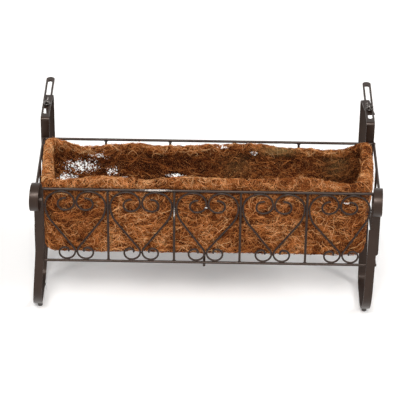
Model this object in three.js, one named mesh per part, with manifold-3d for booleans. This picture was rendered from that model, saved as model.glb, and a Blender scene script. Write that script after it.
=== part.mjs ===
// A wire window box planter: a welded rod basket with heart scrolls on its front, a pair of flat-bar
// brackets that carry it and reach back as slotted arms, a screw clamp on each arm, and a coco-fibre liner.
//
// Millimetres. +X is to the right seen from the front, +Y runs from the front panel back towards the rail
// that the arms hook over, and +Z is up. The model is built about the centre of the front top rail, then
// moved so that its origin is on the floor, below the middle of the whole outline.

import * as THREE from "three";
import * as BufferGeometryUtils from "three/addons/utils/BufferGeometryUtils.js";
import Module from "manifold-3d";

const wasm = await Module();
wasm.setup();

// Basket, measured between rod centres.
const basketDepth = 224;
const basketHeight = 195.6;
const sideRailX = 391.9;
const railOverhang = 3.6;
const railRadius = 3.175;

// Uprights of the panels.
const dividerRadius = 2.75;
const dividerPitch = 152.5;
const dividerCount = 4;
const rearDividerShift = -15;
const endPostInset = 13.9;
const endPostX = sideRailX - endPostInset;
const endPostRadius = 2.5;
const crossRodX = -6;

// Heart scrolls: the wire, and the radii of its arcs from the upper inner end to the lower inner end.
const scrollWireRadius = 2.25;
const lobeRadius = 38.5;
const upperCurlRadius = 22;
const upperHookRadius = 16;
const upperEndAngle = 102;
const shoulderRadius = 75;
const lowerTurnRadius = 20;
const lowerCurlRadius = 17;
const lowerCrownRadius = 14;
const lowerHookRadius = 8;
const lowerEndAngle = 205;
const heartFootShifts = [0, 0, -3, 0, 8.5];

// Brackets: flat bar bent in the planes x = +/- bracketX. The hangers are welded on a little off that
// plane, and each leans sideways below the weld lap.
const bracketInset = 4.4;
const bracketX = sideRailX - bracketInset;
const hangerShift = { left: -0.5, right: -5.5 };
const hangerSplay = { left: -8, right: -5 };
const barWidth = 20;
const barThickness = 3;
const curlRadius = 31;
const curlEndAngle = 322;
const curlStrapDrop = 167;
const hangerTopDrop = 93;
const leanStartDrop = 172;
const leanEndDrop = 250;
const hangerLean = 8;
const hangerDrop = 345;
const frontBendRadius = 60;
const rearBendRadius = 32;
const rearBendInset = 78;
const uprightBendDrop = 205;
const uprightBendRadius = 25;
const armHeight = 53;
const armBendRadius = 6;
const armLength = 199;
const leanBendRadius = 60;

// Slot in each arm, and the clamp that slides in it.
const slotWidth = 10.5;
const slotStart = 20;
const slotEndWall = 18;
const clampBoltSetback = 67;
const clampNearReach = 30;
const clampFarReach = 53;
const clampDrop = 125;
const clampBendRadius = 6;
const clampTwist = { left: -3, right: 8.5 };
const boltRadius = 3;
const boltHeadRadius = 5.6;
const boltHeadHeight = 4;
const boltTipRise = 2;
const washerRadius = 9;
const washerThickness = 1.6;
const nutHubRadius = 5.5;
const nutNeckRadius = 4.6;
const nutHubHeight = 6;
const wingSpan = 24;
const wingThickness = 2.4;
const wingRise = 11;
const wingFoot = 1;
const wingNutTurn = { left: 74, right: -42 };

// Feet under each hanger.
const footRadius = 6;
const rearFootRadius = 7;
const footHeight = 7;
const frontFootY = 37;
const rearFootY = 125;

// Coco liner, an open tray whose rim falls from front to back and whose belly sags onto the cross rod.
const linerEndRoom = 14.225;
const linerShift = -5.5;
const linerWall = 10;
const linerFrontRim = 20;
const linerRearRim = -4;
const linerEdgeLift = 15.6;
const linerEdgeRadius = 20;
const linerBellyRadius = 40;
const linerCornerRadius = 38;

// Clearances between separate pieces.
const weldGap = 0.3;
const slideGap = 0.3;
const linerGap = 0.7;

// Fineness of the facets.
const rodSides = 12;
const wireSides = 6;
const bendStep = 15;
const scrollStep = 20;
const cutMargin = 1;

const X = new THREE.Vector3(1, 0, 0);
const Y = new THREE.Vector3(0, 1, 0);
const Z = new THREE.Vector3(0, 0, 1);
const sides = { left: -1, right: 1 };

const bronzePaint = { color: 0x3e3630, roughness: 0.45, metalness: 0.4 };
const zincPlate = { color: 0x8d8a88, roughness: 0.3, metalness: 1 };
const footPlastic = { color: 0x6f6a66, roughness: 0.6, metalness: 0 };
const cocoFibre = { color: 0x8b5a2b, roughness: 1, metalness: 0 };

/** A named mesh of one body, with its own material. */
function piece(name, geometry, look) {
  const mesh = new THREE.Mesh(geometry, new THREE.MeshStandardMaterial(look));
  mesh.name = name;
  return mesh;
}

// ---- Solids joined and cut ----

function toSolid(geometry) {
  const bare = geometry.clone();
  bare.deleteAttribute("normal");
  bare.deleteAttribute("uv");
  const merged = BufferGeometryUtils.mergeVertices(bare);
  const vertProperties = new Float32Array(merged.attributes.position.array);
  const triVerts = new Uint32Array(merged.index.array);
  return new wasm.Manifold(new wasm.Mesh({ numProp: 3, vertProperties, triVerts }));
}

function toGeometry(solid) {
  const { vertProperties, triVerts } = solid.getMesh();
  const geometry = new THREE.BufferGeometry();
  geometry.setAttribute("position", new THREE.BufferAttribute(vertProperties, 3));
  geometry.setIndex(new THREE.BufferAttribute(triVerts, 1));
  return geometry;
}

/** The geometry less every cutter. */
function cut(geometry, cutters) {
  return toGeometry(cutters.reduce((solid, cutter) => solid.subtract(toSolid(cutter)), toSolid(geometry)));
}

// ---- Bent lines and flat outlines ----

const degrees = THREE.MathUtils.degToRad;

/** Points on an arc about a centre, from one angle to another in degrees, both ends included. */
function arcPoints(centre, radius, from, to, step) {
  const count = Math.max(1, Math.ceil(Math.abs(to - from) / step));
  return Array.from({ length: count + 1 }, (_, i) => {
    const angle = degrees(from + ((to - from) * i) / count);
    return new THREE.Vector2(centre.x + radius * Math.cos(angle), centre.y + radius * Math.sin(angle));
  });
}

/** A polyline through corners { x, y, radius }, with each inner corner rounded to its radius. */
function bentLine(corners) {
  return corners.flatMap(({ x, y, radius = 0 }, i) => {
    const corner = new THREE.Vector2(x, y);
    if (radius === 0) return [corner];
    const back = new THREE.Vector2(corners[i - 1].x, corners[i - 1].y).sub(corner).normalize();
    const ahead = new THREE.Vector2(corners[i + 1].x, corners[i + 1].y).sub(corner).normalize();
    const halfAngle = Math.acos(back.dot(ahead)) / 2;
    const middle = back.clone().add(ahead).normalize();
    const centre = corner.clone().addScaledVector(middle, radius / Math.sin(halfAngle));
    const start = corner.clone().addScaledVector(back, radius / Math.tan(halfAngle));
    const turn = Math.sign(back.cross(ahead)) * (180 - THREE.MathUtils.radToDeg(2 * halfAngle));
    const from = THREE.MathUtils.radToDeg(start.clone().sub(centre).angle());
    return arcPoints(centre, radius, from, from - turn, bendStep);
  });
}

/** The outline of a strip of even thickness along a line of points. */
function stripShape(line, thickness) {
  const offsets = line.map((point, i) => {
    const before = point.clone().sub(line[Math.max(0, i - 1)]).normalize();
    const after = line[Math.min(line.length - 1, i + 1)].clone().sub(point).normalize();
    const along = before.add(after).normalize();
    const reference = i === 0 ? after : point.clone().sub(line[i - 1]).normalize();
    const mitre = thickness / 2 / Math.abs(along.dot(reference));
    return new THREE.Vector2(-along.y, along.x).multiplyScalar(mitre);
  });
  const left = line.map((point, i) => point.clone().add(offsets[i]));
  const right = line.map((point, i) => point.clone().sub(offsets[i]));
  return new THREE.Shape([...left, ...right.reverse()]);
}

/** A flat outline drawn in (y, z) and extruded along x, centred on x = 0. */
function acrossX(shape, width) {
  const geometry = new THREE.ExtrudeGeometry(shape, { depth: width, bevelEnabled: false });
  geometry.translate(0, 0, -width / 2);
  return geometry.applyMatrix4(new THREE.Matrix4().makeBasis(Y, Z, X));
}

/** A flat outline drawn in (x, z) and extruded along y, centred on y = 0. */
function acrossY(shape, depth) {
  const geometry = new THREE.ExtrudeGeometry(shape, { depth, bevelEnabled: false });
  geometry.translate(0, 0, -depth / 2);
  return geometry.applyMatrix4(new THREE.Matrix4().makeBasis(X, Z, Y.clone().negate()));
}

// ---- Rods ----

/** A straight round rod between two points. */
function rod(name, from, to, radius) {
  const span = new THREE.Vector3().subVectors(to, from);
  const mesh = piece(name, new THREE.CylinderGeometry(radius, radius, span.length(), rodSides), bronzePaint);
  mesh.position.addVectors(from, to).multiplyScalar(0.5);
  mesh.quaternion.setFromUnitVectors(Y, span.normalize());
  return mesh;
}

function point(x, y, z) {
  return new THREE.Vector3(x, y, z);
}

function upright(name, x, y, radius) {
  const seat = railRadius + weldGap;
  return rod(name, point(x, y, seat - basketHeight), point(x, y, -seat), radius);
}

const railReach = sideRailX + railOverhang;

function basketRails() {
  const seat = railRadius + weldGap;
  const levels = { top: 0, bottom: -basketHeight };
  return Object.entries(levels).flatMap(([level, z]) => [
    rod(`front_${level}_rail`, point(-railReach, 0, z), point(railReach, 0, z), railRadius),
    rod(`rear_${level}_rail`, point(-railReach, basketDepth, z), point(railReach, basketDepth, z), railRadius),
    ...Object.entries(sides).map(([side, sign]) => {
      const x = sign * sideRailX;
      return rod(`${side}_${level}_side_rail`, point(x, seat, z), point(x, basketDepth - seat, z), railRadius);
    }),
  ]);
}

const crossRodZ = -(basketHeight + 2 * railRadius + weldGap);

function crossRod() {
  const reach = railRadius;
  const front = point(crossRodX, -reach, crossRodZ);
  return rod("centre_cross_rod", front, point(crossRodX, basketDepth + reach, crossRodZ), railRadius);
}

const dividerPlaces = Array.from({ length: dividerCount }, (_, i) => (i - (dividerCount - 1) / 2) * dividerPitch);

function panelUprights() {
  return [
    ...dividerPlaces.map((x, i) => upright(`front_divider_${i + 1}`, x, 0, dividerRadius)),
    ...dividerPlaces.map((x, i) => {
      return upright(`rear_divider_${i + 1}`, x + rearDividerShift, basketDepth, dividerRadius);
    }),
    ...Object.entries(sides).map(([side, sign]) => upright(`${side}_end_post`, sign * endPostX, 0, endPostRadius)),
    ...Object.entries(sides).map(([side, sign]) => {
      return upright(`${side}_end_divider`, sign * sideRailX, basketDepth / 2, dividerRadius);
    }),
  ];
}

// ---- Heart scrolls ----

/** A wire's centreline that passes through chosen stations, each of which gets one ring of the wire. */
class WireLine extends THREE.Curve {
  constructor(stations) {
    super();
    this.stations = stations;
  }

  getPoint(t) {
    const last = this.stations.length - 1;
    const place = t * last;
    const index = Math.min(last - 1, Math.max(0, Math.floor(place)));
    return new THREE.Vector3().lerpVectors(this.stations[index], this.stations[index + 1], place - index);
  }

  getUtoTmapping(u) {
    return u;
  }
}

/**
 * One half of a heart, as (x, z) points: x runs out from the heart's centre line, z up from the top rail.
 * Tangent arcs make the upper curl, the lobe, the shoulder, a straight side and the lower curl, which
 * lies footShift further out than the heart's centre line asks.
 */
function scrollLine(halfWidth, footShift) {
  const seat = railRadius + weldGap + scrollWireRadius;
  const inner = scrollWireRadius + weldGap / 2;
  const top = -seat;
  const bottom = seat - basketHeight;

  const lobe = new THREE.Vector2(halfWidth - lobeRadius, top - lobeRadius);
  const crownRadius = lobe.x - inner;
  const crown = new THREE.Vector2(lobe.x, top - crownRadius);
  const upperCurl = new THREE.Vector2(inner + upperCurlRadius, crown.y);
  const upperHook = new THREE.Vector2(upperCurl.x, upperCurl.y - upperCurlRadius + upperHookRadius);
  const shoulder = new THREE.Vector2(halfWidth - shoulderRadius, lobe.y);

  const lowerTurn = new THREE.Vector2(inner + footShift + lowerTurnRadius, bottom + lowerTurnRadius);
  const lowerCurl = new THREE.Vector2(lowerTurn.x, bottom + lowerCurlRadius);
  const lowerCrown = new THREE.Vector2(lowerCurl.x + lowerCurlRadius - lowerCrownRadius, lowerCurl.y);
  const lowerHook = new THREE.Vector2(lowerCrown.x, lowerCrown.y + lowerCrownRadius - lowerHookRadius);

  // The straight side is the inner tangent of the shoulder's circle and the lower turn's circle.
  const reach = lowerTurn.clone().sub(shoulder);
  const bearing = Math.atan2(reach.y, reach.x);
  const lean = Math.acos((shoulderRadius + lowerTurnRadius) / reach.length());
  const tangent = THREE.MathUtils.radToDeg(bearing + lean);

  const arcs = [
    [upperHook, upperHookRadius, upperEndAngle, -90],
    [upperCurl, upperCurlRadius, -90, -180],
    [crown, crownRadius, 180, 90],
    [lobe, lobeRadius, 90, 0],
    [shoulder, shoulderRadius, 0, tangent],
    [lowerTurn, lowerTurnRadius, tangent + 180, 270],
    [lowerCurl, lowerCurlRadius, -90, 0],
    [lowerCrown, lowerCrownRadius, 0, 90],
    [lowerHook, lowerHookRadius, 90, lowerEndAngle],
  ];
  const line = arcs.flatMap(([centre, radius, from, to]) => arcPoints(centre, radius, from, to, scrollStep));
  return line.filter((place, i) => i === 0 || place.distanceTo(line[i - 1]) > weldGap);
}

function wireSection() {
  const ring = Array.from({ length: wireSides }, (_, i) => {
    const angle = (2 * Math.PI * i) / wireSides;
    return new THREE.Vector2(Math.cos(angle), Math.sin(angle)).multiplyScalar(scrollWireRadius);
  });
  return new THREE.Shape(ring);
}

function scroll(name, centreX, halfWidth, footShift, sign) {
  const stations = scrollLine(halfWidth, sign * footShift).map((place) => point(sign * place.x, 0, place.y));
  const extrudePath = new WireLine(stations);
  const geometry = new THREE.ExtrudeGeometry(wireSection(), { extrudePath, steps: stations.length - 1 });
  const mesh = piece(name, geometry, bronzePaint);
  mesh.position.x = centreX;
  return mesh;
}

/** Five hearts, one in each bay of the front panel, each filling its bay from upright to upright. */
function hearts() {
  const last = dividerPlaces.at(-1);
  const posts = [
    { x: -endPostX, radius: endPostRadius },
    ...dividerPlaces.map((x) => ({ x, radius: dividerRadius })),
    { x: endPostX, radius: endPostRadius },
  ];
  const outerSlack = endPostX - last - dividerPitch;
  const outerHalf = (dividerPitch + outerSlack) / 2 - dividerRadius - weldGap - scrollWireRadius;
  const innerHalf = dividerPitch / 2 - dividerRadius - weldGap - scrollWireRadius;
  return posts.slice(1).flatMap((post, i) => {
    const centreX = (posts[i].x + post.x) / 2;
    const halfWidth = i === 0 || i === dividerCount ? outerHalf : innerHalf;
    return Object.entries(sides).map(([side, sign]) => {
      return scroll(`heart_${i + 1}_${side}_scroll`, centreX, halfWidth, heartFootShifts[i] ?? 0, sign);
    });
  });
}

// ---- Brackets ----

const curlStrapY = -(railRadius + weldGap + barThickness / 2);
const hangerFrontY = curlStrapY - barThickness - weldGap;
const uprightY = basketDepth + railRadius + weldGap + barThickness / 2;
const armEndY = uprightY + armLength;

/** A cutter that rounds a bar's end: the corners outside a half circle, with `along` pointing off the end. */
function endRounder(end, along, across) {
  const half = barWidth / 2;
  const shape = new THREE.Shape();
  shape.moveTo(0, half);
  shape.lineTo(0, half + cutMargin);
  shape.lineTo(half + cutMargin, half + cutMargin);
  shape.lineTo(half + cutMargin, -half - cutMargin);
  shape.lineTo(0, -half - cutMargin);
  shape.lineTo(0, -half);
  shape.absarc(0, 0, half, -Math.PI / 2, Math.PI / 2, false);
  const depth = barThickness + 2 * cutMargin;
  const geometry = new THREE.ExtrudeGeometry(shape, { depth, bevelEnabled: false, curveSegments: 6 });
  geometry.translate(-half, 0, -depth / 2);
  const frame = new THREE.Matrix4().makeBasis(along, across, along.clone().cross(across));
  return geometry.applyMatrix4(frame.setPosition(end));
}

function curlStrap(name, sign) {
  const centre = new THREE.Vector2(curlStrapY - curlRadius, 0);
  const line = [
    new THREE.Vector2(curlStrapY, -curlStrapDrop),
    ...arcPoints(centre, curlRadius, 0, curlEndAngle, bendStep),
  ];
  const down = Z.clone().negate();
  const rounder = endRounder(point(0, curlStrapY, -curlStrapDrop), down, X);
  const mesh = piece(name, cut(acrossX(stripShape(line, barThickness), barWidth), [rounder]), bronzePaint);
  mesh.position.x = sign * bracketX;
  return mesh;
}

/** The slot's two arc centres along y. */
const slotFrom = uprightY + slotStart + slotWidth / 2;
const slotTo = armEndY - slotEndWall - slotWidth / 2;

function slotCutter() {
  const shape = new THREE.Shape();
  shape.absarc(0, slotFrom, slotWidth / 2, Math.PI, 2 * Math.PI, false);
  shape.absarc(0, slotTo, slotWidth / 2, 0, Math.PI, false);
  const depth = barThickness + 2 * cutMargin;
  const geometry = new THREE.ExtrudeGeometry(shape, { depth, bevelEnabled: false, curveSegments: 6 });
  return geometry.translate(0, 0, armHeight - depth / 2);
}

/** How far a side's hanger is pushed sideways at a height: nothing above the lap, all of it at the bottom. */
function splayAt(side, z) {
  const share = (-z - curlStrapDrop) / (hangerDrop - curlStrapDrop);
  return hangerSplay[side] * Math.max(0, share);
}

function splayed(geometry, side) {
  const places = geometry.attributes.position;
  for (let i = 0; i < places.count; i += 1) {
    places.setX(i, places.getX(i) + splayAt(side, places.getZ(i)));
  }
  return geometry;
}

/** Down in front of the basket, under it in a U, up behind it and back over the rail. */
function hangerStrap(side, sign) {
  const lowFrontY = hangerFrontY - hangerLean;
  const line = bentLine([
    { x: hangerFrontY, y: -hangerTopDrop },
    { x: hangerFrontY, y: -leanStartDrop, radius: leanBendRadius },
    { x: lowFrontY, y: -leanEndDrop, radius: leanBendRadius },
    { x: lowFrontY, y: -hangerDrop, radius: frontBendRadius },
    { x: uprightY - rearBendInset, y: -hangerDrop, radius: rearBendRadius },
    { x: uprightY, y: -uprightBendDrop, radius: uprightBendRadius },
    { x: uprightY, y: armHeight, radius: armBendRadius },
    { x: armEndY, y: armHeight },
  ]);
  const cutters = [
    endRounder(point(0, armEndY, armHeight), Y, X),
    slotCutter(),
  ];
  const bar = cut(acrossX(stripShape(line, barThickness), barWidth), cutters);
  const mesh = piece(`${side}_hanger_strap`, splayed(bar, side), bronzePaint);
  mesh.position.x = sign * bracketX + hangerShift[side];
  return mesh;
}

// ---- Feet ----

const footTop = -(hangerDrop + barThickness / 2 + weldGap);
const floor = footTop - footHeight;

function foot(name, side, y, radius) {
  const x = sides[side] * bracketX + hangerShift[side] + splayAt(side, footTop);
  const mesh = piece(name, new THREE.CylinderGeometry(radius, radius, footHeight, 2 * rodSides), footPlastic);
  mesh.rotation.x = Math.PI / 2;
  mesh.position.set(x, y, footTop - footHeight / 2);
  return mesh;
}

// ---- Clamps: everything is drawn about the bolt, with z = 0 on the arm's middle plane ----

const clampY = uprightY + clampBoltSetback;
const legZ = -(barThickness + slideGap);
const headTop = legZ - barThickness / 2 - slideGap;
const washerBottom = barThickness / 2 + slideGap;
const nutBottom = washerBottom + washerThickness + slideGap;
const boltTip = nutBottom + nutHubHeight + boltTipRise;

/** A round or many-sided bar along z between two heights. */
function turned(radiusLow, radiusHigh, low, high, sideCount) {
  const geometry = new THREE.CylinderGeometry(radiusHigh, radiusLow, high - low, sideCount);
  geometry.rotateX(Math.PI / 2);
  return geometry.translate(0, 0, (low + high) / 2);
}

function boltGeometry() {
  const head = turned(boltHeadRadius, boltHeadRadius, headTop - boltHeadHeight, headTop, 6);
  const shank = turned(boltRadius, boltRadius, headTop - boltHeadHeight / 2, boltTip, rodSides);
  return toGeometry(toSolid(head).add(toSolid(shank)));
}

function boreCutter(low, high) {
  return turned(boltRadius + slideGap, boltRadius + slideGap, low - cutMargin, high + cutMargin, rodSides);
}

function washerGeometry() {
  const top = washerBottom + washerThickness;
  const disc = turned(washerRadius, washerRadius, washerBottom, top, 2 * rodSides);
  return cut(disc, [boreCutter(washerBottom, top)]);
}

/** One raised wing, drawn in (x, z) from inside the hub to its tip and extruded across its thickness. */
function wingGeometry(sign) {
  const tip = wingSpan / 2;
  const root = nutNeckRadius / 2;
  const outline = [
    [root, wingFoot],
    [tip * 0.75, wingFoot + wingRise * 0.2],
    [tip, wingRise * 0.55],
    [tip, wingRise * 0.82],
    [tip * 0.85, wingRise],
    [tip * 0.62, wingRise * 0.9],
    [root, nutHubHeight - wingFoot],
  ];
  const points = outline.map(([x, z]) => new THREE.Vector2(sign * x, nutBottom + z));
  return acrossY(new THREE.Shape(points), wingThickness);
}

function wingNutGeometry() {
  const top = nutBottom + nutHubHeight;
  const hub = turned(nutHubRadius, nutNeckRadius, nutBottom, top, 2 * rodSides);
  const body = [wingGeometry(-1), wingGeometry(1)].reduce((solid, wing) => solid.add(toSolid(wing)), toSolid(hub));
  return toGeometry(body.subtract(toSolid(boreCutter(nutBottom, top))));
}

/** The L-shaped leg: flat under the arm, then straight down. */
function clampLegGeometry() {
  const line = bentLine([
    { x: -clampNearReach, y: legZ },
    { x: clampFarReach, y: legZ, radius: clampBendRadius },
    { x: clampFarReach, y: legZ - clampDrop },
  ]);
  const end = point(0, clampFarReach, legZ - clampDrop);
  const rounder = endRounder(end, Z.clone().negate(), X);
  const bore = boreCutter(legZ - barThickness / 2, legZ + barThickness / 2);
  return cut(acrossX(stripShape(line, barThickness), barWidth), [rounder, bore]);
}

function clamp(side, sign) {
  const group = new THREE.Group();
  group.position.set(sign * bracketX + hangerShift[side], clampY, armHeight);
  const leg = piece(`${side}_clamp_leg`, clampLegGeometry(), bronzePaint);
  leg.rotation.z = degrees(clampTwist[side]);
  const nut = piece(`${side}_wing_nut`, wingNutGeometry(), zincPlate);
  nut.rotation.z = degrees(wingNutTurn[side]);
  const bolt = piece(`${side}_clamp_bolt`, boltGeometry(), zincPlate);
  const washer = piece(`${side}_clamp_washer`, washerGeometry(), zincPlate);
  group.add(leg, nut, bolt, washer);
  return group;
}

// ---- Liner ----

/** The tray's outside, or its inside when inset by the wall: a cross-section cut to the end view. */
function linerForm(inset, rise) {
  const front = railRadius + linerGap + inset;
  const rear = basketDepth - railRadius - linerGap - inset;
  const middle = basketDepth / 2;
  const belly = crossRodZ + railRadius + weldGap + inset;
  const edge = inset + linerEdgeLift - basketHeight;
  const section = bentLine([
    { x: front, y: linerFrontRim + rise },
    { x: front, y: edge, radius: linerEdgeRadius - inset },
    { x: middle, y: belly, radius: linerBellyRadius },
    { x: rear, y: edge, radius: linerEdgeRadius - inset },
    { x: rear, y: linerRearRim + rise },
  ]);
  const half = sideRailX - railRadius - linerEndRoom - inset;
  const cornerRadius = linerCornerRadius - inset;
  const top = linerFrontRim + rise + cutMargin;
  const face = bentLine([
    { x: -half, y: top },
    { x: -half, y: belly - cutMargin, radius: cornerRadius },
    { x: half, y: belly - cutMargin, radius: cornerRadius },
    { x: half, y: top },
  ]);
  const across = toSolid(acrossX(new THREE.Shape(section), 2 * half));
  const along = acrossY(new THREE.Shape(face), basketDepth).translate(0, middle, 0);
  return across.intersect(toSolid(along));
}

function liner() {
  const rimAbove = linerFrontRim - linerRearRim;
  const tray = linerForm(0, 0).subtract(linerForm(linerWall, rimAbove));
  const mesh = piece("coco_liner", toGeometry(tray), cocoFibre);
  mesh.position.x = linerShift;
  return mesh;
}

// ---- The whole planter ----

const outlineFront = curlStrapY - 2 * curlRadius - barThickness / 2;

const planter = new THREE.Group();
planter.position.set(0, -(outlineFront + armEndY) / 2, -floor);
planter.add(...basketRails(), crossRod(), ...panelUprights(), ...hearts());
Object.entries(sides).forEach(([side, sign]) => {
  planter.add(curlStrap(`${side}_curl_strap`, sign), hangerStrap(side, sign));
  planter.add(foot(`${side}_front_foot`, side, frontFootY, footRadius));
  planter.add(foot(`${side}_rear_foot`, side, rearFootY, rearFootRadius));
  planter.add(clamp(side, sign));
});
planter.add(liner());

export default planter;
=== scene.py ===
import math

import bmesh
import bpy
import numpy as np
from mathutils import Matrix, Vector


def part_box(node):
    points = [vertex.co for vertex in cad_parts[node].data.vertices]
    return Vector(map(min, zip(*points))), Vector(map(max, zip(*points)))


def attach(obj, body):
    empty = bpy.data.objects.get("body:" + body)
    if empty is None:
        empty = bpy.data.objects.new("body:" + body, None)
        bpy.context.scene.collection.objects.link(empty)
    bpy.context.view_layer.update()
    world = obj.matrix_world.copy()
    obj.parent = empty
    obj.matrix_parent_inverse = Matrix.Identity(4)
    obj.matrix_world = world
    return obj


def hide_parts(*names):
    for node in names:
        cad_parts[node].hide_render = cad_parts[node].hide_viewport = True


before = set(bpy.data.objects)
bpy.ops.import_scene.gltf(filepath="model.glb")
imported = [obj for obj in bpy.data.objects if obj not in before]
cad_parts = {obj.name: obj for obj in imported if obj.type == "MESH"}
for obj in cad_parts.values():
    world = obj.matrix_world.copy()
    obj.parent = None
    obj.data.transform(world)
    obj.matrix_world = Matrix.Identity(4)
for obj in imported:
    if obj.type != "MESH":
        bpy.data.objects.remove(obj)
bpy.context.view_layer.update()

# ---------------------------------------------------------------------------------------------
# Camera. A long lens nearly five metres away looks down on the planter from the front, and turns
# about the middle of the front top rail, from which every size below is measured in millimetres.
# ---------------------------------------------------------------------------------------------

MM = 0.001
rail_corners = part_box("front_top_rail")
rail_middle = (rail_corners[0] + rail_corners[1]) / 2

photo_width = 416
focal_length = 2120
principal_point = (207.71, 191.26)
camera_distance = 4.83932
camera_drop, camera_yaw, camera_roll = (math.radians(angle) for angle in (31.99488, -0.152198, 0.84975))

level = Vector((math.sin(camera_yaw), math.cos(camera_yaw), 0))
ahead = math.cos(camera_drop) * level - math.sin(camera_drop) * Vector((0, 0, 1))
right = Vector((math.cos(camera_yaw), -math.sin(camera_yaw), 0))
up = right.cross(ahead)
rolled_right = right * math.cos(camera_roll) + up * math.sin(camera_roll)
rolled_up = up * math.cos(camera_roll) - right * math.sin(camera_roll)

camera_data = bpy.data.cameras.new("camera")
camera_data.sensor_width = 36
camera_data.lens = camera_data.sensor_width * focal_length / photo_width
camera_data.shift_x = 0.5 - principal_point[0] / photo_width
camera_data.shift_y = principal_point[1] / photo_width - 0.5
camera = bpy.data.objects.new("camera", camera_data)
camera.matrix_world = Matrix.Translation(rail_middle - camera_distance * ahead) @ Matrix(
    (rolled_right, rolled_up, -ahead)
).transposed().to_4x4()
bpy.context.scene.collection.objects.link(camera)
bpy.context.scene.camera = camera
bpy.context.scene.view_settings.view_transform = "Standard"

# ---------------------------------------------------------------------------------------------
# Floor and light. A white paper floor under an even white sky, with a wide soft lamp far in front and
# halfway up, so that the shadow lies under the basket and behind it, and a weaker one on each side.
# ---------------------------------------------------------------------------------------------


def linear(hex_colour):
    """An sRGB hex colour as linear RGBA: each channel c becomes ((c + 0.055) / 1.055) to the power 2.4."""
    channels = [int(hex_colour[i : i + 2], 16) / 255 for i in (1, 3, 5)]
    return [c / 12.92 if c <= 0.04045 else ((c + 0.055) / 1.055) ** 2.4 for c in channels] + [1]


def add(tree, kind, links=None, **settings):
    """Adds a node. Settings are its properties, and links maps an input to a value or another output."""
    node = tree.nodes.new(kind)
    for name, value in settings.items():
        setattr(node, name, value)
    for name, value in (links or {}).items():
        if isinstance(value, bpy.types.NodeSocket):
            tree.links.new(value, node.inputs[name])
        else:
            node.inputs[name].default_value = value
    return node


def new_material(name):
    """An empty material, its node tree and its output's surface socket."""
    material = bpy.data.materials.new(name)
    material.use_nodes = True
    material.node_tree.nodes.clear()
    output = material.node_tree.nodes.new("ShaderNodeOutputMaterial")
    return material, material.node_tree, output.inputs["Surface"]


def seen_directly(tree):
    """1 on rays from the camera, or reflected or let through towards it, and 0 on the light's own bounces."""
    rays = add(tree, "ShaderNodeLightPath").outputs
    mirrored = add(
        tree,
        "ShaderNodeMath",
        {0: rays["Is Glossy Ray"], 1: rays["Is Transmission Ray"]},
        operation="MAXIMUM",
    )
    links = {0: rays["Is Camera Ray"], 1: mirrored.outputs[0]}
    return add(tree, "ShaderNodeMath", links, operation="MAXIMUM").outputs[0]


sky_level = 0.27
world = bpy.data.worlds.new("studio")
world.use_nodes = True
world_tree = world.node_tree
world_strength = add(
    world_tree,
    "ShaderNodeMapRange",
    {"Value": seen_directly(world_tree), "To Min": sky_level, "To Max": 1.0},
)
world_tree.links.new(world_strength.outputs[0], world_tree.nodes["Background"].inputs["Strength"])
world_tree.nodes["Background"].inputs["Color"].default_value = (1, 1, 1, 1)
bpy.context.scene.world = world

# Matt seamless paper: an even near-white without gloss, on which only the soft shadow shows.
paper, paper_tree, paper_surface = new_material("white_paper_floor")
paper_glow = add(paper_tree, "ShaderNodeMath", {0: seen_directly(paper_tree), 1: 0.2}, operation="MULTIPLY")
paper_shader = add(
    paper_tree,
    "ShaderNodeBsdfPrincipled",
    {
        "Base Color": linear("#F3F1EF"),
        "Roughness": 0.9,
        "Specular IOR Level": 0.1,
        "Emission Color": (1, 1, 1, 1),
        "Emission Strength": paper_glow.outputs[0],
    },
)
paper_tree.links.new(paper_shader.outputs[0], paper_surface)

floor_reach = 9.0
floor_mesh = bpy.data.meshes.new("floor")
floor_mesh.from_pydata(
    [(x * floor_reach, y * floor_reach, 0) for x, y in ((-1, -1), (1, -1), (1, 1), (-1, 1))],
    [],
    [(0, 1, 2, 3)],
)
floor_mesh.materials.append(paper)
floor = bpy.data.objects.new("floor", floor_mesh)
bpy.context.scene.collection.objects.link(floor)


def soft_lamp(name, bearing, height, width, strength):
    """A round lamp so far off that it lights all of the floor alike. In degrees, with bearing 0 in front."""
    data = bpy.data.lights.new(name, "SUN")
    data.angle = math.radians(width)
    data.energy = strength
    lamp = bpy.data.objects.new(name, data)
    lamp.rotation_euler = (math.radians(90 - height), 0, math.radians(bearing))
    bpy.context.scene.collection.objects.link(lamp)


soft_lamp("lamp_front", -2, 50, 18, 2.35)
soft_lamp("lamp_right", 66, 34, 16, 1.05)
soft_lamp("lamp_left", -66, 34, 16, 0.45)

# ---------------------------------------------------------------------------------------------
# Basket rods. Drawn steel rod, 6.35 mm for the rails and 5.5 mm for the uprights, cut square with
# eased ends, welded into a cage and powder coated in one dark bronze colour.
# ---------------------------------------------------------------------------------------------

# Powder coat: a dark satin bronze with an orange-peel skin 1 mm across, which clouds over some 35 mm and is
# rubbed through to pale grey in specks of 2 to 3 mm where a rod is marked. Some of these pale specks are
# painted highlight.
paint, paint_tree, paint_surface = new_material("bronze_powder_coat")
paint_place = add(paint_tree, "ShaderNodeTexCoord").outputs["Object"]
cloud = add(
    paint_tree,
    "ShaderNodeTexNoise",
    {"Vector": paint_place, "Scale": 28.0, "Detail": 3.0, "Roughness": 0.6},
)
coat_colour = add(
    paint_tree,
    "ShaderNodeMix",
    {"Factor": cloud.outputs["Fac"], 6: linear("#1A110D"), 7: linear("#2E2019")},
    data_type="RGBA",
)
speck = add(paint_tree, "ShaderNodeTexNoise", {"Vector": paint_place, "Scale": 420.0, "Detail": 2.0})
wear_and_glint = add(paint_tree, "ShaderNodeAttribute", attribute_name="wear_and_glint")
wear_and_glint_specks = add(
    paint_tree,
    "ShaderNodeMath",
    {0: speck.outputs["Fac"], 1: wear_and_glint.outputs["Fac"]},
    operation="MULTIPLY",
)
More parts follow.
